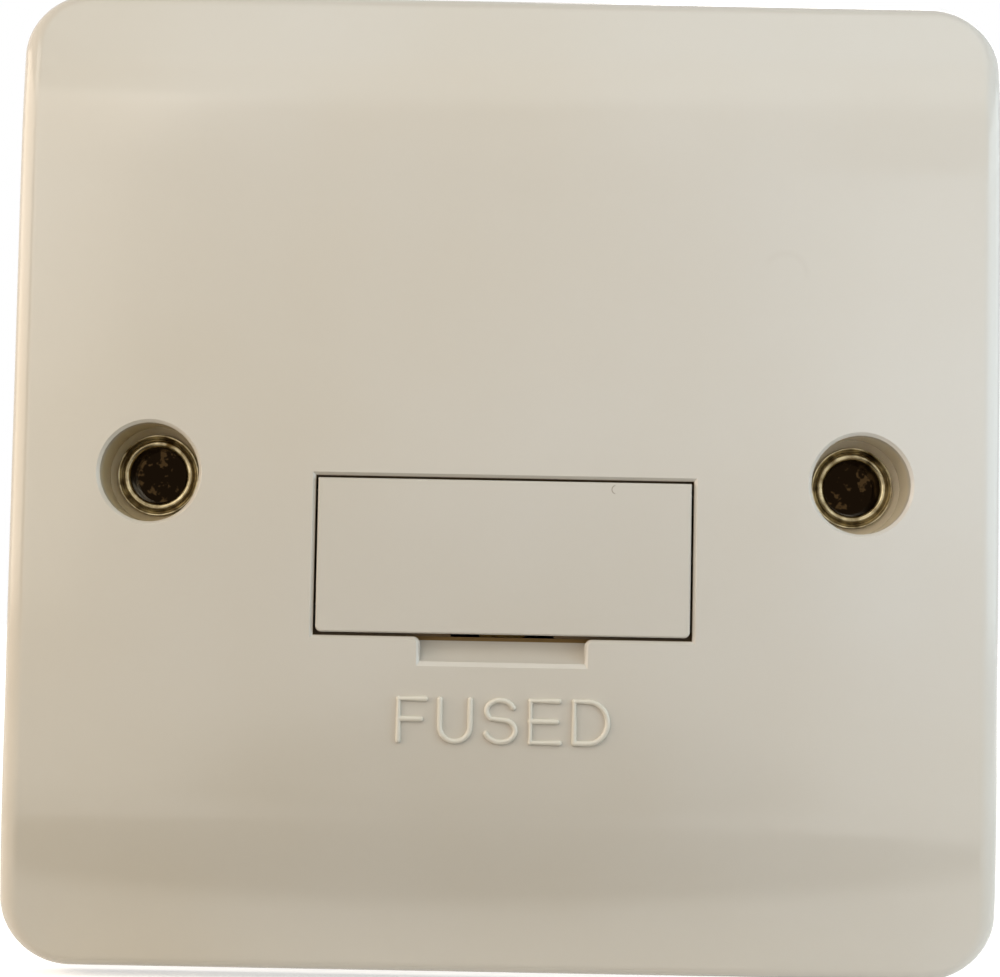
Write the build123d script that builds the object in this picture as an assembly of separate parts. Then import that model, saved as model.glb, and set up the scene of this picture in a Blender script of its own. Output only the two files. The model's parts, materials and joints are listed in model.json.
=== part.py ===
"""Fused spur unit: a single-gang cover plate with a pull-out fuse carrier, seen from the room.

Millimetres. X runs to the right, Z up and Y into the wall. The origin is the middle of the plate's rear
rim, which lies on the wall, so the front face stands at -PLATE_DEPTH.
"""
import os
from math import asin, atan2, cos, degrees, hypot, sin

from build123d import *

os.makedirs("parts", exist_ok=True)

# Cover plate: outline at the wall, flat middle of the front and the roll towards its top and bottom edges.
PLATE_WIDTH = 86.0
PLATE_HEIGHT = 85.2
PLATE_DEPTH = 9.0
CORNER_R = 6.5
SIDE_DRAFT = 7.0
EDGE_R = 1.8
FLAT_HEIGHT = 52.0
ROLL_DROP = 4.2
FRONT_WALL = 2.5
SKIRT_WALL = 2.2
RIB = 1.2
RIB_HEIGHT = 2.4
RIB_STOP = 6.0
LIP_BREAK = 0.28

# Fixing: standard centres, sunk recesses and the eyelets in them.
FIXING_PITCH = 60.3
RECESS_R = 4.2
RECESS_DEPTH = 5.9
BOSS_WALL = 1.6
EYELET_BORE_R = 2.25
EYELET_WALL = 0.45
EYELET_RIM_R = 3.5
EYELET_RIM_RISE = 0.45
EYELET_RIM_FLAT = 0.12
EYELET_STEP_R = 3.2
EYELET_STEP = 0.3
EYELET_ROLL_WIDTH = 0.35
EYELET_ROLL_HEIGHT = 0.23
EYELET_THROAT_R = 2.4
EYELET_SEAT = 1.25
EYELET_FOOT = 0.5
EYELET_FOOT_FLARE = 0.6

# Cartridge fuse.
FUSE_LENGTH = 25.4
FUSE_R = 3.175
CAP_LENGTH = 5.8
CAP_WALL = 0.22
CAP_END = 0.38

# Fuse carrier, the opening it runs in and the fingertip notch below.
CARRIER_WIDTH = 31.6
CARRIER_HEIGHT = 13.02
CARRIER_GAP = 0.2
CARRIER_LOW_GAP = 0.27
CARRIER_EDGE = 0.12
CARRIER_CORNER_R = 0.5
PANEL = 2.0
PANEL_LEDGE = 0.7
LEDGE_SLOT = 8.8
ARM = 1.8
ARM_HEIGHT = 8.0
HOOK = 0.9
HOOK_LENGTH = 1.2
HOOK_NOSE = 0.3
TRAVEL = 12.0
CRADLE_WIDTH = 11.2
CRADLE_BACK = 0.75
CRADLE_LIP = 1.2
CRADLE_FLOOR = 1.4
CRADLE_MOUTH = 0.6
NOTCH_WIDTH = 13.9
NOTCH_HEIGHT = 2.2
NOTCH_DEPTH = 1.8
NOTCH_SAG = 0.38
NOTCH_CORNER_R = 0.6

# Stamped contacts, fuse clips and the earth strap.
STRAP = 0.8
STRAP_INSET = 0.6
STRAP_END = 2.0
EYE_MARGIN = 0.9
STRIP = 0.6
CLIP_WIDTH = 5.0
CLIP_LIP = 1.5
CLIP_LIP_START = 0.8
CLIP_FLARE = 0.7
RUN_WIDTH = 3.3
LINK_WIDTH = 4.0
LEG_WIDTH = 2.8

# Pillar terminals and their screws.
BLOCK_WIDTH = 7.0
BLOCK_HEIGHT = 10.0
BLOCK_DEPTH = 9.4
BLOCK_EDGE = 0.4
EARTH_WIDTH = 14.4
WIRE_R = 2.25
WIRE_WALL = 1.15
WIRE_PITCH_EARTH = 7.2
TERMINAL_PITCH = 28.0
LEG_GAP = 0.4
UPPER_GAP = 2.0
LOWER_GAP = 0.6
SCREW_R = 1.9
SCREW_PROUD = 0.8
SLOT_WIDTH = 0.8
SLOT_DEPTH = 0.9

# Rear housing and the screws through its ears.
HOUSING_WALL = 2.0
HOUSING_CORNER_R = 2.0
HOUSING_EDGE = 0.8
SLEEVE_WALL = 1.6
FRAME_WALL = 1.8
WELL_MARGIN = 0.7
ENTRY_MARGIN = 0.6
PROP_WIDTH = 2.0
PROP_HEIGHT = 3.0
EAR = 2.5
EAR_MARGIN = 0.7
EAR_LAP = 0.35
EAR_PITCH = 17.6
TAPPER_R = 1.4
TAPPER_LENGTH = 7.1
TAPPER_HEAD_R = 2.5
TAPPER_HEAD = 1.7

# Clearances: a seated piece, a running piece, live metal to moulding, spring of a clip. LAP sinks one
# part of a moulding into the next.
SEAT = 0.05
RUN = 0.5
ROOM = 0.25
GRIP = 0.08
LAP = 0.4


def block(x0, x1, y0, y1, z0, z1):
    """Box between two corners, in either order along X."""
    return Pos((x0 + x1) / 2, (y0 + y1) / 2, (z0 + z1) / 2) * Box(abs(x1 - x0), y1 - y0, z1 - z0)


def rod_x(y, z, r, x0, x1):
    return Pos((x0 + x1) / 2, y, z) * Rot(0, 90, 0) * Cylinder(r, x1 - x0)


def rod_y(x, z, r, y0, y1):
    return Pos(x, (y0 + y1) / 2, z) * Rot(90, 0, 0) * Cylinder(r, y1 - y0)


def rod_z(x, y, r, z0, z1):
    return Pos(x, y, (z0 + z1) / 2) * Cylinder(r, z1 - z0)


def area(x0, x1, z0, z1):
    """Rectangle in the plane of the plate."""
    return Pos((x0 + x1) / 2, (z0 + z1) / 2) * Rectangle(abs(x1 - x0), z1 - z0)


def sheet(sketch, y0, y1):
    """A sketch in the plane of the plate, as a slab from y0 back to y1."""
    plane = Plane((0, y1, 0), x_dir=(1, 0, 0), z_dir=(0, -1, 0))
    return extrude(plane * sketch, y1 - y0)


# Levels along Y.
front = -PLATE_DEPTH
inner = front + FRONT_WALL
strap_back = -STRAP_INSET
boss_back = strap_back - STRAP
recess_floor = front + RECESS_DEPTH
panel_back = front + PANEL
barrel_r = FUSE_R - CAP_WALL
trough_r = barrel_r + SEAT
fuse_y = panel_back + CRADLE_BACK + trough_r
lip_back = fuse_y + trough_r + CRADLE_LIP
strip_front = lip_back + RUN
strip_back = strip_front + STRIP
sleeve_back = strip_front - ROOM
wire_y = strip_back + WIRE_WALL + WIRE_R
block_back = strip_back + BLOCK_DEPTH
wall_front = block_back + SEAT
housing_back = wall_front + HOUSING_WALL

# Fuse opening in the plate: its top edge lies on the line of the fixings.
opening_x = CARRIER_WIDTH / 2 + CARRIER_GAP
opening_top = 0.0
opening_bottom = opening_top - CARRIER_GAP - CARRIER_HEIGHT - CARRIER_LOW_GAP
mid_z = (opening_top + opening_bottom) / 2
sleeve_x = opening_x + SLEEVE_WALL
sleeve_top = opening_top + SLEEVE_WALL
sleeve_bottom = opening_bottom - SLEEVE_WALL

# Rows of terminals above and below the opening.
leg_top = sleeve_top + LEG_GAP + LEG_WIDTH
leg_bottom = sleeve_bottom - LEG_GAP - LEG_WIDTH
upper0 = leg_top + UPPER_GAP
upper1 = upper0 + BLOCK_HEIGHT
lower1 = leg_bottom - LOWER_GAP
lower0 = lower1 - BLOCK_HEIGHT
term_x = TERMINAL_PITCH / 2
term_in = term_x - BLOCK_WIDTH / 2
term_out = term_x + BLOCK_WIDTH / 2

# Housing box, its ears and the fixings beside it.
box_x = max(sleeve_x, term_out) + ROOM
box_top = upper1 + ROOM
box_bottom = lower0 - ROOM
out_x = box_x + FRAME_WALL
out_top = box_top + FRAME_WALL
out_bottom = box_bottom - FRAME_WALL
ear_r = TAPPER_HEAD_R + EAR_MARGIN
ear_reach = ear_r - EAR_LAP
ears = [(-EAR_PITCH / 2, out_top + ear_reach), (EAR_PITCH / 2, out_bottom - ear_reach)]
fixings = [-FIXING_PITCH / 2, FIXING_PITCH / 2]


def plate_form(inset, front_inset):
    """The plate's outer form, drawn in by inset at the sides and front_inset at the front."""
    span = (PLATE_HEIGHT - FLAT_HEIGHT) / 2
    roll = (span**2 + ROLL_DROP**2) / (2 * ROLL_DROP)
    r = roll - front_inset
    hub = front + roll
    reach = PLATE_HEIGHT / 2 + 1
    knee = FLAT_HEIGHT / 2
    end = asin((reach - knee) / r)

    def at(angle, sign):
        return hub - r * cos(angle), sign * (knee + r * sin(angle))

    edges = [
        Line((1, -reach), at(end, -1)),
        ThreePointArc(at(end, -1), at(end / 2, -1), at(0, -1)),
        Line(at(0, -1), at(0, 1)),
        ThreePointArc(at(0, 1), at(end / 2, 1), at(end, 1)),
        Line(at(end, 1), (1, reach)),
        Line((1, reach), (1, -reach)),
    ]
    profile = extrude(Plane.YZ * make_face(edges), PLATE_WIDTH, both=True)
    outline = RectangleRounded(PLATE_WIDTH - 2 * inset, PLATE_HEIGHT - 2 * inset, CORNER_R - inset)
    plane = Plane((0, 0, 0), x_dir=(1, 0, 0), z_dir=(0, -1, 0))
    prism = extrude(plane * outline, PLATE_DEPTH, taper=SIDE_DRAFT)
    return prism & profile


def strap_sketch(grow):
    """Earth strap: a cross bar above the opening with an arm down to an eye at each fixing."""
    mid = (upper0 + upper1) / 2
    width = BLOCK_HEIGHT - 2 * STRAP_END + 2 * grow
    knee = box_x
    eye = FIXING_PITCH / 2
    sketch = area(-knee, knee, mid - width / 2, mid + width / 2)
    for sign in (-1, 1):
        run = hypot(eye - knee, mid)
        lean = degrees(atan2(-mid, sign * (eye - knee)))
        sketch += Pos(sign * (eye + knee) / 2, mid / 2) * Rot(0, 0, lean) * Rectangle(run, width)
        sketch += Pos(sign * knee, mid) * Circle(width / 2)
        sketch += Pos(sign * eye, 0) * Circle(RECESS_R + EYE_MARGIN + grow)
    return sketch


def on_front(edge):
    return all(abs(v.Y - front) < 1e-3 for v in edge.vertices())


# Cover plate: shell, frame for the housing, sleeve round the opening, bosses, ear posts and ribs.
outer = plate_form(0, 0)
near_edge = PLATE_WIDTH / 2 - CORNER_R, PLATE_HEIGHT / 2 - CORNER_R
rim_edges = [
    e
    for e in outer.edges()
    if all(v.Y < -1 for v in e.vertices())
    and (abs(e.center().X) > near_edge[0] or abs(e.center().Z) > near_edge[1])
]
plate = fillet(rim_edges, EDGE_R)
plate -= plate_form(SKIRT_WALL, FRONT_WALL)
root = inner - LAP
frame = block(-out_x, out_x, root, strap_back, out_bottom, out_top)
frame -= block(-box_x, box_x, root - 1, strap_back + 1, box_bottom, box_top)
frame -= sheet(strap_sketch(ROOM), boss_back - SEAT, strap_back + 1)
plate += frame
plate += block(-sleeve_x, sleeve_x, root, sleeve_back, sleeve_bottom, sleeve_top)
for x in fixings:
    plate += rod_y(x, 0, RECESS_R + BOSS_WALL, root, boss_back)
for x, z in ears:
    plate += rod_y(x, z, ear_r, root, strap_back)
rib_back = inner + RIB_HEIGHT
skirt_x = PLATE_WIDTH / 2 - SKIRT_WALL
rib_end = PLATE_HEIGHT / 2 - SKIRT_WALL - RIB_STOP
for sign in (-1, 1):
    plate += block(sign * box_x, sign * skirt_x, root, rib_back, -RIB / 2, RIB / 2)
    rib_x = sign * out_x, sign * (out_x - RIB)
    plate += block(*rib_x, root, rib_back, box_top, rib_end)
    plate += block(*rib_x, root, rib_back, -rib_end, box_bottom)

# Opening with a ledge behind the carrier's panel, a slot each side for its arms and one below for a blade.
step = panel_back + SEAT
plate -= block(-opening_x, opening_x, front - 1, step, opening_bottom, opening_top)
plate -= block(
    -opening_x, opening_x, step - 1, sleeve_back + 1, opening_bottom + PANEL_LEDGE, opening_top - PANEL_LEDGE
)
plate -= block(-LEDGE_SLOT / 2, LEDGE_SLOT / 2, step - 1, sleeve_back + 1, opening_bottom, mid_z)
slot_half = ARM_HEIGHT / 2 + ROOM
plate -= block(-sleeve_x - 1, sleeve_x + 1, inner, sleeve_back + 1, mid_z - slot_half, mid_z + slot_half)

# Fingertip notch: a hollow scoop that is deepest at the opening.
notch_floor = front + NOTCH_DEPTH
notch_end = opening_bottom - NOTCH_HEIGHT
chord = hypot(NOTCH_DEPTH, NOTCH_HEIGHT)
middle = (
    front + NOTCH_DEPTH / 2 + NOTCH_SAG * NOTCH_HEIGHT / chord,
    opening_bottom - NOTCH_HEIGHT / 2 - NOTCH_SAG * NOTCH_DEPTH / chord,
)
scoop_edges = [
    ThreePointArc((notch_floor, opening_bottom), middle, (front, notch_end)),
    Line((front, notch_end), (front - 1, notch_end)),
    Line((front - 1, notch_end), (front - 1, opening_bottom + SEAT)),
    Line((front - 1, opening_bottom + SEAT), (notch_floor, opening_bottom + SEAT)),
    Line((notch_floor, opening_bottom + SEAT), (notch_floor, opening_bottom)),
]
plate -= extrude(Plane.YZ * make_face(scoop_edges), NOTCH_WIDTH / 2, both=True)

# Fixing recesses with the eyelets' seats, and pilot holes behind the ears.
tube_r = EYELET_BORE_R + EYELET_WALL
for x in fixings:
    plate -= rod_y(x, 0, RECESS_R, front - 1, recess_floor)
    plate -= rod_y(x, 0, tube_r + SEAT, front - 1, boss_back + 1)
    seat_cone = Cone(tube_r + SEAT, EYELET_RIM_R + SEAT, EYELET_SEAT)
    plate -= Pos(x, recess_floor + EYELET_SEAT / 2, 0) * Rot(90, 0, 0) * seat_cone
tapper_seat = strap_back + EAR
for x, z in ears:
    plate -= rod_y(x, z, TAPPER_R, tapper_seat - TAPPER_LENGTH - LAP, strap_back + 1)

# Rounded shoulders of the notch and broken lips round what opens in the front.
shoulders = [
    e
    for e in plate.edges().filter_by(Axis.Y)
    if abs(abs(e.center().X) - NOTCH_WIDTH / 2) < 1e-3 and abs(e.center().Z - opening_bottom) < 1e-3
]
plate = fillet(shoulders, NOTCH_CORNER_R)
lips = [
    e
    for e in plate.edges()
    if on_front(e)
    and abs(e.center().Z) < RECESS_R - notch_end
    and abs(e.center().X) < FIXING_PITCH / 2 + 2 * RECESS_R
    and e.length < FLAT_HEIGHT - 1
]
plate = chamfer(lips, LIP_BREAK)
export_step(plate, "parts/front_plate.step")

# Eyelets: a tube with a rim on the seat cone, a rolled lip inside it and a flared foot behind the strap.
mouth = recess_floor + EYELET_SEAT
rim_top = recess_floor - EYELET_RIM_RISE
foot = strap_back + EYELET_FOOT
foot_r = tube_r + EYELET_FOOT_FLARE
groove = rim_top + EYELET_STEP
crest = groove - EYELET_ROLL_HEIGHT
crest_r = (EYELET_STEP_R + EYELET_THROAT_R) / 2
eyelet_outline = [
    (tube_r, strap_back),
    (tube_r, mouth),
    (EYELET_RIM_R, recess_floor),
    (EYELET_RIM_R, rim_top),
    (EYELET_RIM_R - EYELET_RIM_FLAT, rim_top),
    (EYELET_STEP_R, groove),
    (crest_r + EYELET_ROLL_WIDTH / 2, crest),
    (crest_r - EYELET_ROLL_WIDTH / 2, crest),
    (EYELET_THROAT_R, groove),
    (EYELET_BORE_R, mouth),
    (EYELET_BORE_R, foot),
    (foot_r, foot),
    (foot_r, strap_back),
]
eyelet = revolve(make_face(Polyline(*eyelet_outline, close=True)), Axis.Y)
for name, x in zip(("left_eyelet", "right_eyelet"), fixings):
    export_step(Pos(x, 0, 0) * eyelet, f"parts/{name}.step")

# Fuse carrier: panel, side arms with catches, cradle open at the top.
arm_x = CARRIER_WIDTH / 2
hook_front = inner + TRAVEL + SEAT
arm_back = hook_front + HOOK_LENGTH
panel_top = opening_top - CARRIER_GAP
panel_bottom = opening_bottom + CARRIER_LOW_GAP
carrier = block(-arm_x, arm_x, front, panel_back, panel_bottom, panel_top)
carrier = fillet([e for e in carrier.edges().filter_by(Axis.Y) if e.center().Z < mid_z], CARRIER_CORNER_R)
carrier = chamfer([e for e in carrier.edges() if on_front(e)], CARRIER_EDGE)
arm_low = mid_z - ARM_HEIGHT / 2
for sign in (-1, 1):
    carrier += block(
        sign * (arm_x - ARM), sign * arm_x, panel_back - LAP, arm_back, arm_low, arm_low + ARM_HEIGHT
    )
    catch = [
        (sign * (arm_x - ARM), arm_back),
        (sign * arm_x, arm_back),
        (sign * (arm_x + HOOK), hook_front + HOOK_NOSE),
        (sign * (arm_x + HOOK), hook_front),
        (sign * (arm_x - ARM), hook_front),
    ]
    carrier += Pos(0, 0, arm_low) * extrude(make_face(Polyline(*catch, close=True)), ARM_HEIGHT)
half_cradle = CRADLE_WIDTH / 2
cradle = block(
    -half_cradle,
    half_cradle,
    panel_back - LAP,
    lip_back,
    mid_z - barrel_r - CRADLE_FLOOR,
    mid_z + CRADLE_MOUTH,
)
cradle -= rod_x(fuse_y, mid_z, trough_r, -CRADLE_WIDTH, CRADLE_WIDTH)
cradle -= block(
    -CRADLE_WIDTH, CRADLE_WIDTH, fuse_y - trough_r, fuse_y + trough_r, mid_z, mid_z + barrel_r
)
carrier += cradle
export_step(carrier, "parts/fuse_carrier.step")

# Fuse: a barrel in two pressed caps.
half_fuse = FUSE_LENGTH / 2
barrel_end = half_fuse - CAP_END
export_step(rod_x(fuse_y, mid_z, barrel_r, -barrel_end, barrel_end), "parts/fuse_barrel.step")
cap = rod_x(fuse_y, mid_z, FUSE_R, half_fuse - CAP_LENGTH, half_fuse)
cap -= rod_x(fuse_y, mid_z, barrel_r, half_fuse - CAP_LENGTH - 1, barrel_end)
export_step(cap, "parts/fuse_cap_right.step")
export_step(mirror(cap, Plane.YZ), "parts/fuse_cap_left.step")

# Stamped strips, all in one plane behind the carrier. Each fuse clip is folded forward from its strip.
clip_x = half_fuse - CAP_LENGTH / 2
clip_in = clip_x - CLIP_WIDTH / 2
clip_out = clip_x + CLIP_WIDTH / 2
jaw = FUSE_R + GRIP
base = jaw + STRIP
lip_start = fuse_y - CLIP_LIP_START
lip_end = lip_start - CLIP_LIP
fold = strip_front + STRIP / 2


def clip(strip, sign):
    """A strip with a fuse clip's two leaves and their flared lips."""
    for side in (-1, 1):
        leaf = [
            (fold, mid_z + side * jaw),
            (lip_start, mid_z + side * jaw),
            (lip_end, mid_z + side * (jaw + CLIP_FLARE)),
            (lip_end, mid_z + side * (base + CLIP_FLARE)),
            (lip_start, mid_z + side * base),
            (fold, mid_z + side * base),
        ]
        face = Plane.YZ * make_face(Polyline(*leaf, close=True))
        strip += Pos(sign * clip_x, 0, 0) * extrude(face, CLIP_WIDTH / 2, both=True)
    return strip


run_in = clip_out - RUN_WIDTH
line_in = area(clip_in, clip_out, mid_z - base, mid_z + base)
line_in += area(run_in, clip_out, mid_z, upper0 + STRAP_END)
line_in += area(run_in, term_out, upper0, upper1 - STRAP_END)
export_step(clip(sheet(line_in, strip_front, strip_back), 1), "parts/line_in_contact.step")
line_out = area(-clip_out, -clip_in, mid_z - base, mid_z + base)
line_out += area(-clip_out, -run_in, lower1 - STRAP_END, mid_z)
line_out += area(-term_out, -run_in, lower0 + STRAP_END, lower1)
export_step(clip(sheet(line_out, strip_front, strip_back), -1), "parts/line_out_contact.step")
half_link = LINK_WIDTH / 2
link = area(-half_link, half_link, leg_bottom, leg_top)
link += area(-term_out, half_link, leg_top - LEG_WIDTH, leg_top)
link += area(-term_out, -term_in, leg_top - LEG_WIDTH, upper1 - STRAP_END)
link += area(-half_link, term_out, leg_bottom, leg_bottom + LEG_WIDTH)
link += area(term_in, term_out, lower0 + STRAP_END, leg_bottom + LEG_WIDTH)
export_step(sheet(link, strip_front, strip_back), "parts/neutral_link.step")

# Earth strap between the bosses and the feet of the eyelets.
strap = sheet(strap_sketch(0), boss_back, strap_back)
for x in fixings:
    strap -= rod_y(x, 0, tube_r + SEAT, boss_back - 1, strap_back + 1)
export_step(strap, "parts/earth_strap.step")

# Pillar terminals: wire hole along Z, slotted clamping screw from the rear.
screw_ends = wire_y + WIRE_R + SEAT, block_back + SCREW_PROUD
screws = []
wells = []


def terminal(name, xs, width, y0, z0):
    """A terminal block from height z0 with a wire hole and a screw at each x."""
    mid = sum(xs) / len(xs)
    z = z0 + BLOCK_HEIGHT / 2
    body = block(mid - width / 2, mid + width / 2, y0, block_back, z0, z0 + BLOCK_HEIGHT)
    body = chamfer(body.edges().filter_by(Axis.Y), BLOCK_EDGE)
    for x in xs:
        body -= rod_z(x, wire_y, WIRE_R, z0 - 1, z0 + BLOCK_HEIGHT + 1)
        body -= rod_y(x, z, SCREW_R, wire_y, block_back + 1)
        slot = block(
            x - SCREW_R - 1,
            x + SCREW_R + 1,
            screw_ends[1] - SLOT_DEPTH,
            screw_ends[1] + 1,
            z - SLOT_WIDTH / 2,
            z + SLOT_WIDTH / 2,
        )
        screws.append(rod_y(x, z, SCREW_R, *screw_ends) - slot)
        wells.append((x, z))
    export_step(body, f"parts/{name}.step")


earth_xs = [-WIRE_PITCH_EARTH / 2, WIRE_PITCH_EARTH / 2]
terminal("line_in_terminal", [term_x], BLOCK_WIDTH, strip_back, upper0)
terminal("neutral_in_terminal", [-term_x], BLOCK_WIDTH, strip_back, upper0)
terminal("earth_terminal", earth_xs, EARTH_WIDTH, strap_back, upper0)
terminal("line_out_terminal", [-term_x], BLOCK_WIDTH, strip_back, lower0)
terminal("neutral_out_terminal", [term_x], BLOCK_WIDTH, strip_back, lower0)
export_step(Compound(children=screws), "parts/terminal_screws.step")

# Rear housing: a box open at the front, on the plate's frame and the strap.
housing = block(-out_x, out_x, strap_back, housing_back, out_bottom, out_top)
housing = fillet(housing.edges().filter_by(Axis.Y), HOUSING_CORNER_R)
housing = chamfer(housing.faces().sort_by(Axis.Y)[-1].edges(), HOUSING_EDGE)
housing -= block(-box_x, box_x, strap_back - 1, wall_front, box_bottom, box_top)
for x, z in ears:
    wall = box_top if z > 0 else box_bottom
    ear = rod_y(x, z, ear_r, strap_back, tapper_seat)
    ear += block(x - ear_r, x + ear_r, strap_back, tapper_seat, min(z, wall), max(z, wall))
    ear -= rod_y(x, z, TAPPER_R + ROOM, strap_back - 1, tapper_seat + 1)
    ear -= block(-box_x, box_x, strap_back - 1, tapper_seat + 1, box_bottom, box_top)
    housing += ear

# Shelves and fences that keep the terminals apart, and props behind the strips.
shelf_front = strip_back + ROOM
shelf_back = wall_front + LAP
shelf_x = box_x + LAP
upper_shelf = upper0 - ROOM
lower_shelf = lower1 + ROOM
housing += block(-shelf_x, shelf_x, shelf_front, shelf_back, upper_shelf - RIB, upper_shelf)
housing += block(-shelf_x, shelf_x, shelf_front, shelf_back, lower_shelf, lower_shelf + RIB)
for sign in (-1, 1):
    fence = sign * (term_in - ROOM), sign * (term_in - ROOM - RIB)
    housing += block(*fence, shelf_front, shelf_back, upper_shelf, box_top + LAP)
    housing += block(*fence, shelf_front, shelf_back, box_bottom - LAP, lower_shelf)
for x in (-clip_x, 0, clip_x):
    prop = x - PROP_WIDTH / 2, x + PROP_WIDTH / 2
    housing += block(*prop, strip_back, shelf_back, mid_z - PROP_HEIGHT / 2, mid_z + PROP_HEIGHT / 2)

# A wire entry and a screwdriver well for each terminal screw.
entry = WIRE_R + ENTRY_MARGIN
for x, z in wells:
    edge = box_top - 1 if z > 0 else out_bottom - 1
    housing -= block(x - entry, x + entry, wire_y - entry, wire_y + entry, edge, edge + FRAME_WALL + 2)
    housing -= rod_y(x, z, SCREW_R + WELL_MARGIN, wall_front - 1, housing_back + 1)
export_step(housing, "parts/rear_housing.step")

# Screws through the housing's ears into the plate.
tappers = []
for x, z in ears:
    shank = rod_y(x, z, TAPPER_R, tapper_seat - TAPPER_LENGTH, tapper_seat)
    tappers.append(shank + rod_y(x, z, TAPPER_HEAD_R, tapper_seat, tapper_seat + TAPPER_HEAD))
export_step(Compound(children=tappers), "parts/housing_screws.step")
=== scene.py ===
"""Looks of the fused spur unit: finishes, raised word, screw heads, light, backdrop and camera."""

import json
from math import cos, pi, radians, sin

import bmesh
import bpy
from mathutils import Matrix, Vector

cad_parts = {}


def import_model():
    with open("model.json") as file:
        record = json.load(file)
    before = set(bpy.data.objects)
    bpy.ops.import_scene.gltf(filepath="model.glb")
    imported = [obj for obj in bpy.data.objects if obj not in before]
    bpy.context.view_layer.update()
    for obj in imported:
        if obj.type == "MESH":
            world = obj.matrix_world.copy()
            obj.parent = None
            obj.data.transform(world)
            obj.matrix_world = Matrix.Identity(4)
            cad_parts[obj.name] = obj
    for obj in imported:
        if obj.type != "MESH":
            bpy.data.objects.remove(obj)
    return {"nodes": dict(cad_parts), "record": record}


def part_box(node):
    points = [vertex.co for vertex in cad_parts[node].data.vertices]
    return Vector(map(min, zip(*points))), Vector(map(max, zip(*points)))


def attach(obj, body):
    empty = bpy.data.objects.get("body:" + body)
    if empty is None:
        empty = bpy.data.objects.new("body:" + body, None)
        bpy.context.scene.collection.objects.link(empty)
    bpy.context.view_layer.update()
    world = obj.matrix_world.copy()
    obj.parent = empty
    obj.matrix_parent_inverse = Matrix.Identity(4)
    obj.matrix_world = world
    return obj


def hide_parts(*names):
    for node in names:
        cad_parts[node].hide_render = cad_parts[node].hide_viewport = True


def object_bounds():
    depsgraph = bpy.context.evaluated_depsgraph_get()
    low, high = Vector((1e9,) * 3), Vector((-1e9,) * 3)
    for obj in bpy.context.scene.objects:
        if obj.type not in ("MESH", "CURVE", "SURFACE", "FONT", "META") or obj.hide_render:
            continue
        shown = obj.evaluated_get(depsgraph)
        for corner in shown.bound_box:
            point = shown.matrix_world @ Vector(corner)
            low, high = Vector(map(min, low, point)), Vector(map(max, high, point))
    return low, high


MM = 0.001

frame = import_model()
cad_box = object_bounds()
nodes = frame["nodes"]
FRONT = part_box("front_plate")[0].y
CARRIER_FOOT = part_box("fuse_carrier")[0].z

# Camera: place in metres, angles in degrees, focal length and image centre in pixels of the image.
IMAGE_WIDTH = 1000
IMAGE_HEIGHT = 977
CAMERA_PLACE = Vector((-0.0004, -0.2096, -0.0112))
CAMERA_PITCH = 3.38
CAMERA_ROLL = 1.07
CAMERA_FOCUS = 2375
CAMERA_CENTRE = (500.7, 470.5)
CAMERA_NEAR = 0.01
SENSOR = 36

# Soft boxes: name, place in metres, width and height, power in watts, colour.
LAMPS = (
    ("window_upper_left", (-0.56, -0.60, 0.62), (0.34, 0.34), 0.85, (1.0, 0.94, 0.85)),
    ("window_left", (-0.38, -0.08, 0.10), (0.50, 0.23), 1.12, (1.0, 0.86, 0.71)),
    ("ceiling", (0.10, -0.45, 0.80), (0.70, 0.40), 0.46, (0.80, 0.92, 1.0)),
    ("overhead", (0.05, -0.22, 0.34), (0.40, 0.30), 0.32, (0.94, 1.0, 0.96)),
    ("room_high", (0.0, -1.00, 0.46), (1.10, 0.90), 1.35, (1.0, 0.92, 0.77)),
    ("room_left", (-0.37, -0.95, 0.31), (0.38, 0.70), 1.6, (1.0, 0.93, 0.83)),
    ("room_right", (0.50, -1.00, 0.12), (0.70, 0.30), 0.72, (0.80, 0.91, 1.0)),
    ("window_right", (0.38, -0.08, 0.08), (0.50, 0.20), 0.68, (0.83, 0.94, 1.0)),
    ("near_right", (0.34, -0.20, 0.12), (0.24, 0.28), 0.18, (0.50, 0.78, 1.0)),
    ("behind", (0.35, 0.80, 0.55), (0.60, 0.60), 4.0, (1.0, 0.98, 0.95)),
)
ROOM_LIGHT = 0.14
ROOM_COLOUR = (240, 228, 208)

# Floor: gap under the part in millimetres, side in metres, tones, and glow near the part.
# The glow rises to white between the two distances of FLOOR_FADE, in metres.
FLOOR_GAP = 0.4
FLOOR_SIZE = 6
FLOOR_TONES = ((236, 235, 232), (240, 239, 237))
FLOOR_GLOW = 0.52
FLOOR_FADE = (0.16, 0.55)

# Dark ovals of the floor before the part, as middle and half size in metres, and where their edge fades.
# Bounced light and reflections meet them, and the camera doesn't.
FLOOR_DARK = (((0.0, -0.33), (0.06, 0.28)), ((-0.006, -0.0395), (0.058, 0.0235)))
FLOOR_DARK_EDGE = (0.9, 1.1)
FLOOR_DARK_TONE = (68, 60, 50)

# Raised word below the fuse carrier, in millimetres.
WORD_DROP = 5.5
WORD_SHIFT = 0.18
CAP_HEIGHT = 3.5
STROKE = 0.5
LETTER_GAP = 1.22
BEAD_LIFT = 0.09
BEAD_VOXEL = 0.04
BEAD_SMOOTHING = 4

# Screws behind the plate, in millimetres.
HEAD_R = 2.5
HEAD_HEIGHT = 1.7
HEAD_EDGE = 0.45
SHANK_R = 1.4
CROSS_LENGTH = 2.9
CROSS_WIDTH = 0.62
CROSS_DEPTH = 1.05
CROSS_TAPER = 0.55

# Curve of a screw's dome: steps, and powers that flatten its top and fill out its side.
DOME_STEPS = 10
DOME_TOP = 0.9
DOME_SIDE = 0.6

# Turn of each screw, in degrees to the millimetre of its place across.
SCREW_TURN = 4

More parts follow.
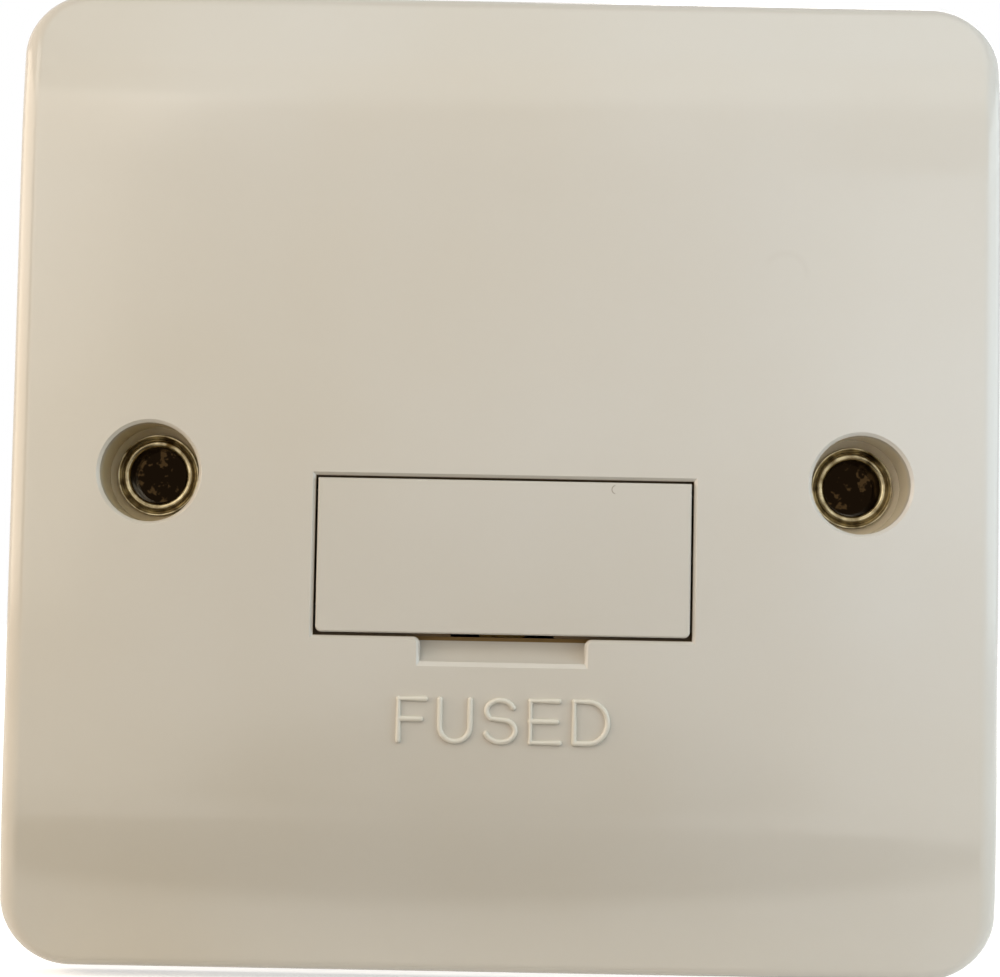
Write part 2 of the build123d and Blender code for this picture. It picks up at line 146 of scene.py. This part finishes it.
# Marks of use on the front: a hairline on the carrier and a faint smear on the plate. Each is part of a
# circle: middle, radius and line width in millimetres, direction of the part that shows, tone, strength.
HAIRLINE = ((9.40, -0.79), 0.36, 0.07, (-1, 0, 0), (118, 104, 84), 0.75)
SMEAR = ((23.5, 17.8), 1.8, 0.45, (0.3, 0, 0.95), (176, 164, 154), 0.09)

# Outlines on the front that hold painted light and shade, in millimetres: the gap round the carrier and the
# fixing recesses.
# An outline's sum of powers is 1 on its edge, and the painted tone ends where that sum is OUTLINE_END.
GAP_MIDDLE = (0, -6.75)
GAP_HALF = (16.3, 7.05)
GAP_POWER = 40
RECESS_R = 4.25
RECESS_POWER = 2
OUTLINE_END = 1.2

# Painted shade in the gap round the carrier and in the left recess, and painted light in the right recess:
# tones, strengths, and depths behind the front in millimetres at which it starts, is full, starts to thin
# out and is gone.
# SHINE is the specular level of plastic outside them.
# Painted shade: the tone laid on the walls of the gap round the carrier, on the plate and on the carrier.
GAP_SHADE_TONE = (124, 96, 52)
PLATE_GAP_DEPTHS = (0.22, 0.3, 2.0, 2.6)
PLATE_GAP_SHADE = 0.95
CARRIER_GAP_DEPTHS = (0.1, 0.16, 0.3, 0.8)
CARRIER_GAP_SHADE = 0.6
# Painted shade in the left fixing recess and painted light in the right one.
RECESS_LIGHT_AND_SHADE_TONES = {"left_eyelet": (198, 176, 124), "right_eyelet": (226, 211, 180)}
RECESS_DEPTHS = (0.2, 2.0, 7.0, 8.0)
RECESS_LIGHT_AND_SHADE = 0.7
SHINE = 0.5

# Painted light: the plastic's tone rises from darker and yellower to lighter and whiter along this slope,
# to the metre.
PAINTED_LIGHT_SLOPE = (6.5, 0, 2.0)

# Painted shadow seen through the eyelets, as dark discs behind them: radius and gap in millimetres, and
# tones.
SHADE_R = 4.5
SHADE_GAP = 0.4
SHADE_TONES = ((24, 16, 8), (64, 48, 28))

# Edges of the solids, in millimetres and degrees: points nearer than WELD are joined, and edges that turn
# by more than SHARP get a small round. FACE_WEIGHT is how much large faces rule the shading.
WELD = 0.002
SHARP = 32
ROUNDS = {
    "front_plate": 0.07,
    "fuse_carrier": 0.07,
    "rear_housing": 0.15,
    "earth_strap": 0.08,
    "left_eyelet": 0.1,
    "right_eyelet": 0.1,
}
SMALL_ROUND = 0.06
ROUND_SEGMENTS = 2
FACE_WEIGHT = 80


def srgb(red, green, blue):
    """A colour of 0 to 255 values as linear numbers."""
    values = []
    for part in (red, green, blue):
        c = part / 255
        values.append(c / 12.92 if c <= 0.04045 else ((c + 0.055) / 1.055) ** 2.4)
    return (*values, 1.0)


class Shade:
    """A material's node tree with short names for what every finish needs."""

    def __init__(self, name):
        self.material = bpy.data.materials.new(name)
        self.material.use_nodes = True
        self.tree = self.material.node_tree
        self.tree.nodes.clear()
        self.out = self.add("ShaderNodeOutputMaterial")

    def add(self, kind, **settings):
        node = self.tree.nodes.new(kind)
        for key, value in settings.items():
            setattr(node, key, value)
        return node

    def link(self, source, target):
        self.tree.links.new(source, target)

    def place(self):
        return self.add("ShaderNodeTexCoord").outputs["Object"]

    def vector(self, operation, source, value=None):
        """A vector put through an operation, with a fixed second vector where it needs one."""
        node = self.add("ShaderNodeVectorMath", operation=operation)
        self.link(source, node.inputs[0])
        if value is not None:
            node.inputs[1].default_value = value
        single = operation in ("DOT_PRODUCT", "LENGTH")
        return node.outputs["Value" if single else "Vector"]

    def math(self, operation, first, second):
        """A value put through an operation with a second one, a socket or a plain number."""
        node = self.add("ShaderNodeMath", operation=operation)
        self.link(first, node.inputs[0])
        if isinstance(second, (int, float)):
            node.inputs[1].default_value = second
        else:
            self.link(second, node.inputs[1])
        return node.outputs["Value"]

    def most(self, *values):
        """The largest of several values."""
        largest = values[0]
        for value in values[1:]:
            largest = self.math("MAXIMUM", largest, value)
        return largest

    def noise(self, cells, detail, stretch=(1, 1, 1)):
        """Noise over the object's own coordinates, in cells to the metre."""
        mapping = self.add("ShaderNodeMapping")
        mapping.inputs["Scale"].default_value = stretch
        noise = self.add("ShaderNodeTexNoise")
        noise.inputs["Scale"].default_value = cells
        noise.inputs["Detail"].default_value = detail
        self.link(self.place(), mapping.inputs["Vector"])
        self.link(mapping.outputs["Vector"], noise.inputs["Vector"])
        return noise.outputs["Fac"]

    def ramp(self, source, dark, light, start=0.0, end=1.0):
        """A colour that goes from dark to light as a value goes from start to end."""
        node = self.add("ShaderNodeValToRGB")
        first, last = node.color_ramp.elements
        first.position = start
        first.color = srgb(*dark)
        last.position = end
        last.color = srgb(*light)
        self.link(source, node.inputs["Fac"])
        return node.outputs["Color"]

    def spread(self, source, low, high, start=0.3, end=0.7):
        """A value mapped from start and end to low and high."""
        node = self.add("ShaderNodeMapRange")
        node.inputs["From Min"].default_value = start
        node.inputs["From Max"].default_value = end
        node.inputs["To Min"].default_value = low
        node.inputs["To Max"].default_value = high
        self.link(source, node.inputs["Value"])
        return node.outputs["Result"]

    def over(self, colour, tone, amount):
        """The colour with a plain tone laid over it by an amount from 0 to 1."""
        mix = self.add("ShaderNodeMix", data_type="RGBA")
        self.link(amount, mix.inputs["Factor"])
        self.link(colour, mix.inputs["A"])
        mix.inputs["B"].default_value = srgb(*tone)
        return mix.outputs["Result"]

    def along(self, slope):
        """A value that grows with the object's own coordinates by a slope to the metre."""
        return self.vector("DOT_PRODUCT", self.place(), slope)

    def mark(self, colour, centre, radius, width, side, tone, strength):
        """The colour with a part circle drawn over it on the front, on the side that side points to."""
        middle = (centre[0] * MM, FRONT, centre[1] * MM)
        offset = self.vector("SUBTRACT", self.place(), middle)
        reach = self.vector("LENGTH", offset)
        miss = self.math("ABSOLUTE", self.math("SUBTRACT", reach, radius * MM), 0)
        line = self.spread(miss, strength, 0, 0, width * MM)
        lean = self.vector("DOT_PRODUCT", offset, side)
        part = self.spread(lean, 0, 1, 0, radius * MM / 2)
        return self.over(colour, tone, self.math("MULTIPLY", line, part))

    def inside(self, middle, half, power):
        """1 inside an outline on the front and 0 outside: an ellipse at power 2, nearly a box at 40."""
        offset = self.vector("SUBTRACT", self.place(), (middle[0] * MM, 0, middle[1] * MM))
        share = self.vector("DIVIDE", offset, (half[0] * MM, 1, half[1] * MM))
        split = self.add("ShaderNodeSeparateXYZ")
        self.link(share, split.inputs["Vector"])
        across = self.math("POWER", self.math("ABSOLUTE", split.outputs["X"], 0), power)
        up = self.math("POWER", self.math("ABSOLUTE", split.outputs["Z"], 0), power)
        return self.spread(self.math("ADD", across, up), 1, 0, 1, OUTLINE_END)

    def oval(self, middle, half):
        """1 on the edge of an oval on the floor, less inside it and more outside."""
        offset = self.vector("SUBTRACT", self.place(), (*middle, 0))
        return self.vector("LENGTH", self.vector("DIVIDE", offset, (*half, 1)))

    def painted_light_and_shade(self, outline, depths, strength):
        """How strongly painted light and shade cover an outline, at the depths behind the front that hold
        them.
        """
        depth = self.math("SUBTRACT", self.along((0, 1, 0)), FRONT)
        start, full, end, gone = (d * MM for d in depths)
        rise = self.spread(depth, 0, strength, start, full)
        fall = self.spread(depth, 1, 0, end, gone)
        return self.math("MULTIPLY", self.math("MULTIPLY", rise, fall), self.inside(*outline))

    def bump(self, source, strength, height):
        """A normal from a height map, with its height in millimetres."""
        node = self.add("ShaderNodeBump")
        node.inputs["Strength"].default_value = strength
        node.inputs["Distance"].default_value = height * MM
        self.link(source, node.inputs["Height"])
        return node.outputs["Normal"]

    def principled(self, colour, roughness, normal=None, **fixed):
        """The surface: linked colour, roughness and normal, and constants set on the shader itself."""
        shader = self.add("ShaderNodeBsdfPrincipled")
        for key, value in fixed.items():
            shader.inputs[key].default_value = value
        self.link(colour, shader.inputs["Base Color"])
        self.link(roughness, shader.inputs["Roughness"])
        if normal is not None:
            self.link(normal, shader.inputs["Normal"])
        self.link(shader.outputs["BSDF"], self.out.inputs["Surface"])
        return shader


def moulded(name, dark, light, gloss, grain, marks=(), painted_light_and_shade=(), painted_light_slope=(0, 0, 0)):
    """Moulded plastic: faint clouding, painted light and shade that yellow one side and fill hollows,
    uneven gloss, a fine skin.
    """
    s = Shade(name)
    cloud = s.spread(s.noise(cells=38, detail=2), 0.4, 0.6)
    # Painted light: the tone is darker and yellower towards low X and Z, lighter and whiter towards high X
    # and Z.
    colour = s.ramp(s.math("ADD", cloud, s.along(painted_light_slope)), dark, light)
    for mark in marks:
        colour = s.mark(colour, *mark)
    painted_amounts = []
    # Painted light and shade laid over the colour in the gap and the recesses.
    for tone, *patch in painted_light_and_shade:
        amount = s.painted_light_and_shade(*patch)
        colour = s.over(colour, tone, amount)
        painted_amounts.append(amount)
    roughness = s.spread(s.noise(cells=120, detail=4), gloss - 0.03, gloss + 0.03)
    normal = s.bump(s.noise(cells=2600, detail=2), strength=grain, height=0.02)
    shader = s.principled(colour, roughness, normal, IOR=1.5)
    # Under painted light and shade the specular level falls from SHINE to nothing.
    if painted_amounts:
        s.link(s.spread(s.most(*painted_amounts), SHINE, 0, 0, 1), shader.inputs["Specular IOR Level"])
    return s.material


def plated(name, dark, light, gloss):
    """Plated metal: dulled in patches, with fine drawing marks."""
    s = Shade(name)
    colour = s.ramp(s.noise(cells=900, detail=4), dark, light, start=0.32, end=0.62)
    roughness = s.spread(s.noise(cells=1800, detail=3), gloss - 0.05, gloss + 0.05)
    normal = s.bump(s.noise(cells=5200, detail=2), strength=0.12, height=0.03)
    s.principled(colour, roughness, normal, Metallic=1.0)
    return s.material


def stamped(name, dark, light, gloss):
    """Rolled and stamped metal with streaks along X and a little tarnish."""
    s = Shade(name)
    colour = s.ramp(s.noise(cells=340, detail=5), dark, light, start=0.3, end=0.68)
    streaks = s.noise(cells=1400, detail=3, stretch=(0.08, 1, 1))
    roughness = s.spread(streaks, gloss - 0.06, gloss + 0.10)
    normal = s.bump(streaks, strength=0.15, height=0.03)
    s.principled(colour, roughness, normal, Metallic=1.0)
    return s.material


def glazed(name, dark, light):
    """Fired tube of a fuse: speckled, with a soft sheen."""
    s = Shade(name)
    colour = s.ramp(s.noise(cells=700, detail=6), dark, light, start=0.35, end=0.65)
    roughness = s.spread(s.noise(cells=420, detail=3), 0.32, 0.46)
    normal = s.bump(s.noise(cells=3000, detail=2), strength=0.1, height=0.03)
    s.principled(colour, roughness, normal)
    return s.material


def middle_of(name):
    """The middle of a node's box, in metres."""
    low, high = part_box(name)
    return (low + high) / 2


# Painted shade in the gap round the carrier and in the left recess, and painted light in the right recess.
gap_outline = (GAP_MIDDLE, GAP_HALF, GAP_POWER)
plate_painted_light_and_shade = [(GAP_SHADE_TONE, gap_outline, PLATE_GAP_DEPTHS, PLATE_GAP_SHADE)]
carrier_painted_shade = [(GAP_SHADE_TONE, gap_outline, CARRIER_GAP_DEPTHS, CARRIER_GAP_SHADE)]
for eyelet, recess_painted_tone in RECESS_LIGHT_AND_SHADE_TONES.items():
    spot = middle_of(eyelet) / MM
    recess_outline = ((spot.x, spot.z), (RECESS_R, RECESS_R), RECESS_POWER)
    plate_painted_light_and_shade.append((recess_painted_tone, recess_outline, RECESS_DEPTHS, RECESS_LIGHT_AND_SHADE))

finishes = {
    "plate": moulded(
        "plate_white", (195, 184, 166), (210, 207, 203), gloss=0.13, grain=0.06,
        marks=[SMEAR], painted_light_and_shade=plate_painted_light_and_shade, painted_light_slope=PAINTED_LIGHT_SLOPE,
    ),
    "carrier": moulded(
        "carrier_white", (193, 182, 164), (208, 205, 201), gloss=0.16, grain=0.08,
        marks=[HAIRLINE], painted_light_and_shade=carrier_painted_shade, painted_light_slope=PAINTED_LIGHT_SLOPE,
    ),
    "housing": moulded("housing_white", (186, 183, 172), (218, 215, 208), gloss=0.45, grain=0.25),
    "barrel": glazed("fuse_ceramic", (206, 201, 190), (222, 218, 209)),
    "caps": plated("fuse_caps", (150, 146, 138), (186, 183, 176), gloss=0.2),
    "strips": stamped("strip_brass", (166, 126, 66), (198, 160, 92), gloss=0.36),
    "strap": stamped("strap_brass", (158, 122, 68), (192, 156, 94), gloss=0.38),
    "terminals": plated("terminal_brass", (176, 136, 70), (204, 166, 98), gloss=0.34),
    "eyelets": plated("eyelet_nickel", (72, 56, 28), (164, 151, 120), gloss=0.2),
    "terminal_screws": plated("terminal_screw_zinc", (150, 146, 138), (188, 185, 178), gloss=0.34),
    "housing_screws": plated("housing_screw_zinc", (138, 136, 132), (182, 180, 176), gloss=0.34),
}
# Painted highlight: the word's beads take a lighter tone than the plate's.
word_painted_highlight = moulded("word_painted_highlight", (206, 198, 183), (224, 218, 206), gloss=0.16, grain=0.06)


def dress(node, width):
    """Rounds a solid's sharp edges and shades the rest smoothly."""
    weld = node.modifiers.new("weld", "WELD")
    weld.merge_threshold = WELD * MM
    bevel = node.modifiers.new("edges", "BEVEL")
    bevel.width = width * MM
    bevel.segments = ROUND_SEGMENTS
    bevel.limit_method = "ANGLE"
    bevel.angle_limit = radians(SHARP)
    split = node.modifiers.new("creases", "EDGE_SPLIT")
    split.split_angle = radians(SHARP)
    shading = node.modifiers.new("shading", "WEIGHTED_NORMAL")
    shading.weight = FACE_WEIGHT
    node.data.polygons.foreach_set("use_smooth", [True] * len(node.data.polygons))


for entry in frame["record"]["subparts"]:
    piece = nodes[entry["node"]]
    piece.data.materials.clear()
    piece.data.materials.append(finishes[entry["material_slot"]])
    dress(piece, ROUNDS.get(entry["node"], SMALL_ROUND))


def add_mesh(name, shape):
    """A new object from a bmesh, which is used up."""
    mesh = bpy.data.meshes.new(name)
    shape.to_mesh(mesh)
    shape.free()
    made = bpy.data.objects.new(name, mesh)
    bpy.context.scene.collection.objects.link(made)
    return made


def final_mesh(item):
    """An object's mesh with its modifiers or its curve's thickness worked in."""
    bpy.context.view_layer.update()
    return bpy.data.meshes.new_from_object(item.evaluated_get(bpy.context.evaluated_depsgraph_get()))


def arc(x, z, rx, rz, start, end, steps=14):
    """Points round an ellipse from one angle to another, in degrees from the right."""
    points = []
    for i in range(steps + 1):
        angle = radians(start + (end - start) * i / steps)
        points.append((x + rx * cos(angle), z + rz * sin(angle)))
    return points


def letter_strokes():
    """Letters of the word as (width, strokes), with strokes as runs of (X, Z) points in millimetres."""
    h = CAP_HEIGHT
    f = [[(0, 0), (0, h), (2.26, h)], [(0, 0.52 * h), (1.9, 0.52 * h)]]
    u = [[(0, h), *arc(1.275, 1.2, 1.275, 1.2, 180, 360), (2.55, h)]]
    s = [[*arc(1.3, h - 0.9, 1.15, 0.9, 18, 225), *arc(1.34, 0.96, 1.26, 0.96, 62, -165)]]
    e = [[(2.38, h), (0, h), (0, 0), (2.46, 0)], [(0, 0.51 * h), (2.22, 0.51 * h)]]
    d = [[(0, 0), (0, h), *arc(1.2, h / 2, 1.61, h / 2, 90, -90), (0, 0)]]
    return [(2.26, f), (2.55, u), (2.64, s), (2.46, e), (2.81, d)]


def raised_word():
    """The word as round-topped beads on the plate's front, joined into one skin."""
    letters = letter_strokes()
    total = sum(width for width, _ in letters) + LETTER_GAP * (len(letters) - 1)
    base = CARRIER_FOOT - (WORD_DROP + CAP_HEIGHT) * MM
    curve = bpy.data.curves.new("word", "CURVE")
    curve.dimensions = "3D"
    curve.bevel_depth = STROKE / 2 * MM
    curve.bevel_resolution = 4
    curve.use_fill_caps = True
    joints = []
    left = WORD_SHIFT - total / 2
    for width, strokes in letters:
        for stroke in strokes:
            spline = curve.splines.new("POLY")
            spline.points.add(len(stroke) - 1)
            for point, (x, z) in zip(spline.points, stroke):
                place = Vector(((left + x) * MM, FRONT - BEAD_LIFT * MM, base + z * MM))
                point.co = (*place, 1)
                joints.append(place)
        left += width + LETTER_GAP
    tube = bpy.data.objects.new("word_tube", curve)
    bpy.context.scene.collection.objects.link(tube)
    beads = bmesh.new()
    beads.from_mesh(final_mesh(tube))
    bpy.data.objects.remove(tube)
    for place in joints:
        turn = Matrix.Translation(place)
        bmesh.ops.create_icosphere(beads, subdivisions=2, radius=STROKE / 2 * MM, matrix=turn)
    word = add_mesh("raised_word", beads)
    remesh = word.modifiers.new("skin", "REMESH")
    remesh.mode = "VOXEL"
    remesh.voxel_size = BEAD_VOXEL * MM
    remesh.use_smooth_shade = True
    smooth = word.modifiers.new("flow", "SMOOTH")
    smooth.iterations = BEAD_SMOOTHING
    # The beads carry the painted highlight tone.
    word.data.materials.append(word_painted_highlight)
    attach(word, "unit")


def lathe(outline, steps=64):
    """A closed skin round the Y axis from (radius, Y) points that start and end on the axis."""
    shape = bmesh.new()
    rings = []
    for radius, y in outline[1:-1]:
        ring = []
        for i in range(steps):
            angle = 2 * pi * i / steps
            ring.append(shape.verts.new((radius * MM * cos(angle), y * MM, radius * MM * sin(angle))))
        rings.append(ring)
    first = shape.verts.new((0, outline[0][1] * MM, 0))
    last = shape.verts.new((0, outline[-1][1] * MM, 0))
    for i in range(steps):
        j = (i + 1) % steps
        shape.faces.new((first, rings[0][i], rings[0][j]))
        for low, high in zip(rings, rings[1:]):
            shape.faces.new((low[i], high[i], high[j], low[j]))
        shape.faces.new((rings[-1][i], last, rings[-1][j]))
    bmesh.ops.recalc_face_normals(shape, faces=shape.faces)
    return shape


def cross_cutter(top):
    """A tapered cross that sinks into a screw head from above its top."""
    reach = CROSS_LENGTH / 2
    half = CROSS_WIDTH / 2
    quarter = [(reach, -half), (reach, half), (half, half)]
    outline = []
    for turn in range(4):
        c = round(cos(turn * pi / 2))
        s = round(sin(turn * pi / 2))
        outline += [(c * x - s * z, s * x + c * z) for x, z in quarter]
    shape = bmesh.new()
    levels = []
    for y, scale in ((top + CROSS_DEPTH, 1 + CROSS_TAPER), (top - CROSS_DEPTH, 1 - CROSS_TAPER)):
        levels.append([shape.verts.new((x * scale * MM, y * MM, z * scale * MM)) for x, z in outline])
    upper, lower = levels
    shape.faces.new(upper)
    shape.faces.new(lower)
    for i in range(len(outline)):
        j = (i + 1) % len(outline)
        shape.faces.new((upper[i], upper[j], lower[j], lower[i]))
    bmesh.ops.recalc_face_normals(shape, faces=shape.faces)
    return shape


def housing_screws():
    """Domed screws with a cross recess that hold the rear housing to the plate."""
    low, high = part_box("housing_screws")
    foot = low.y / MM
    top = high.y / MM
    seat = top - HEAD_HEIGHT
    outline = [(0, foot), (SHANK_R, foot), (SHANK_R, seat), (HEAD_R, seat)]
    for i in range(DOME_STEPS):
        angle = pi / 2 * i / DOME_STEPS
        height = HEAD_EDGE + (HEAD_HEIGHT - HEAD_EDGE) * sin(angle) ** DOME_TOP
        outline.append((HEAD_R * cos(angle) ** DOME_SIDE, seat + height))
    outline.append((0, top))
    screw = add_mesh("screw_blank", lathe(outline))
    cutter = add_mesh("screw_cutter", cross_cutter(top))
    cut = screw.modifiers.new("cross", "BOOLEAN")
    cut.object = cutter
    cut.solver = "EXACT"
    pattern = final_mesh(screw)
    reach = HEAD_R * MM
    shape = bmesh.new()
    for x, z in ((low.x + reach, high.z - reach), (high.x - reach, low.z + reach)):
        copy = pattern.copy()
        turn = Matrix.Rotation(radians(x / MM * SCREW_TURN), 4, "Y")
        copy.transform(Matrix.Translation((x, 0, z)) @ turn)
        shape.from_mesh(copy)
    for item in (screw, cutter):
        bpy.data.objects.remove(item)
    pair = add_mesh("cross_head_screws", shape)
    pair.data.materials.append(finishes["housing_screws"])
    dress(pair, SMALL_ROUND)
    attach(pair, "unit")
    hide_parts("housing_screws")


raised_word()
housing_screws()


def floor():
    """Pale floor under the part that the camera sees as white, apart from the part's shadow."""
    height = cad_box[0].z - FLOOR_GAP * MM
    bpy.ops.mesh.primitive_plane_add(size=FLOOR_SIZE, location=(0, 0, height))
    ground = bpy.context.object
    ground.name = "floor"
    s = Shade("floor_pale")
    path = s.add("ShaderNodeLightPath").outputs
    tone = s.ramp(s.noise(cells=3, detail=2), *FLOOR_TONES, start=0.3, end=0.7)
    patches = []
    for middle, half in FLOOR_DARK:
        patch = s.spread(s.oval(middle, half), 1, 0, *FLOOR_DARK_EDGE)
        met = s.math("GREATER_THAN", patch, path["Is Camera Ray"])
        dark = s.math("MULTIPLY", patch, met)
        tone = s.over(tone, FLOOR_DARK_TONE, dark)
        patches.append(dark)
    shader = s.principled(tone, s.spread(s.noise(cells=40, detail=3), 0.55, 0.65))
    seen = s.most(path["Is Camera Ray"], path["Is Glossy Ray"], path["Is Transmission Ray"])
    bare = s.spread(s.most(*patches), 1, 0, 0, 1)
    fade = s.spread(s.vector("LENGTH", s.place()), FLOOR_GLOW, 1, *FLOOR_FADE)
    glow = s.add("ShaderNodeEmission")
    s.link(s.math("MULTIPLY", s.math("MULTIPLY", seen, bare), fade), glow.inputs["Strength"])
    both = s.add("ShaderNodeAddShader")
    s.link(shader.outputs["BSDF"], both.inputs[0])
    s.link(glow.outputs["Emission"], both.inputs[1])
    s.link(both.outputs["Shader"], s.out.inputs["Surface"])
    ground.data.materials.append(s.material)


def bore_shades():
    """Painted shadow behind the eyelets: dark self-lit discs, seen from the room through their bores and
    from nowhere else.
    """
    s = Shade("bore_shade")
    tone = s.ramp(s.noise(cells=1500, detail=2), *SHADE_TONES, start=0.56, end=0.64)
    dark = s.add("ShaderNodeEmission")
    s.link(tone, dark.inputs["Color"])
    clear = s.add("ShaderNodeBsdfTransparent")
    path = s.add("ShaderNodeLightPath").outputs
    side = s.add("ShaderNodeNewGeometry").outputs
    seen = s.most(path["Is Camera Ray"], path["Is Glossy Ray"])
    mix = s.add("ShaderNodeMixShader")
    s.link(s.math("SUBTRACT", seen, side["Backfacing"]), mix.inputs["Fac"])
    s.link(clear.outputs["BSDF"], mix.inputs[1])
    s.link(dark.outputs["Emission"], mix.inputs[2])
    s.link(mix.outputs["Shader"], s.out.inputs["Surface"])
    for name in ("left_eyelet", "right_eyelet"):
        middle = middle_of(name)
        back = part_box(name)[1].y + SHADE_GAP * MM
        turn = Matrix.Translation((middle.x, back, middle.z)) @ Matrix.Rotation(pi / 2, 4, "X")
        shape = bmesh.new()
        bmesh.ops.create_circle(shape, cap_ends=True, segments=48, radius=SHADE_R * MM, matrix=turn)
        disc = add_mesh(f"{name}_shade", shape)
        disc.data.materials.append(s.material)


def world():
    """Even room light, white where the camera or a reflection looks past the part."""
    made = bpy.data.worlds.new("room")
    bpy.context.scene.world = made
    made.use_nodes = True
    tree = made.node_tree
    tree.nodes.clear()
    out = tree.nodes.new("ShaderNodeOutputWorld")
    mix = tree.nodes.new("ShaderNodeMixShader")
    path = tree.nodes.new("ShaderNodeLightPath")
    room = tree.nodes.new("ShaderNodeBackground")
    room.inputs["Color"].default_value = srgb(*ROOM_COLOUR)
    room.inputs["Strength"].default_value = ROOM_LIGHT
    backdrop = tree.nodes.new("ShaderNodeBackground")
    backdrop.inputs["Color"].default_value = (1, 1, 1, 1)
    backdrop.inputs["Strength"].default_value = 1.0
    seen = path.outputs["Is Camera Ray"]
    for ray in ("Is Glossy Ray", "Is Transmission Ray"):
        either = tree.nodes.new("ShaderNodeMath")
        either.operation = "MAXIMUM"
        tree.links.new(seen, either.inputs[0])
        tree.links.new(path.outputs[ray], either.inputs[1])
        seen = either.outputs["Value"]
    tree.links.new(seen, mix.inputs["Fac"])
    tree.links.new(room.outputs["Background"], mix.inputs[1])
    tree.links.new(backdrop.outputs["Background"], mix.inputs[2])
    tree.links.new(mix.outputs["Shader"], out.inputs["Surface"])


def lamp(name, place, size, power, colour):
    """A soft box that faces the part."""
    data = bpy.data.lights.new(name, "AREA")
    data.shape = "RECTANGLE"
    data.size, data.size_y = size
    data.energy = power
    data.color = colour
    made = bpy.data.objects.new(name, data)
    bpy.context.scene.collection.objects.link(made)
    made.location = place
    made.rotation_euler = (-Vector(place)).to_track_quat("-Z", "Y").to_euler()
    made.visible_camera = False


def camera():
    """The camera at the photograph's viewing angle and framing."""
    data = bpy.data.cameras.new("camera")
    data.sensor_width = SENSOR
    data.lens = CAMERA_FOCUS / IMAGE_WIDTH * SENSOR
    data.shift_x = (IMAGE_WIDTH / 2 - CAMERA_CENTRE[0]) / IMAGE_WIDTH
    data.shift_y = (CAMERA_CENTRE[1] - IMAGE_HEIGHT / 2) / IMAGE_WIDTH
    data.clip_start = CAMERA_NEAR
    made = bpy.data.objects.new("camera", data)
    bpy.context.scene.collection.objects.link(made)
    pitch = Matrix.Rotation(pi / 2 + radians(CAMERA_PITCH), 4, "X")
    roll = Matrix.Rotation(radians(CAMERA_ROLL), 4, "Z")
    made.matrix_world = Matrix.Translation(CAMERA_PLACE) @ pitch @ roll
    bpy.context.scene.camera = made


floor()
bore_shades()
world()
for settings in LAMPS:
    lamp(*settings)
camera()
bpy.context.scene.view_settings.view_transform = "Standard"
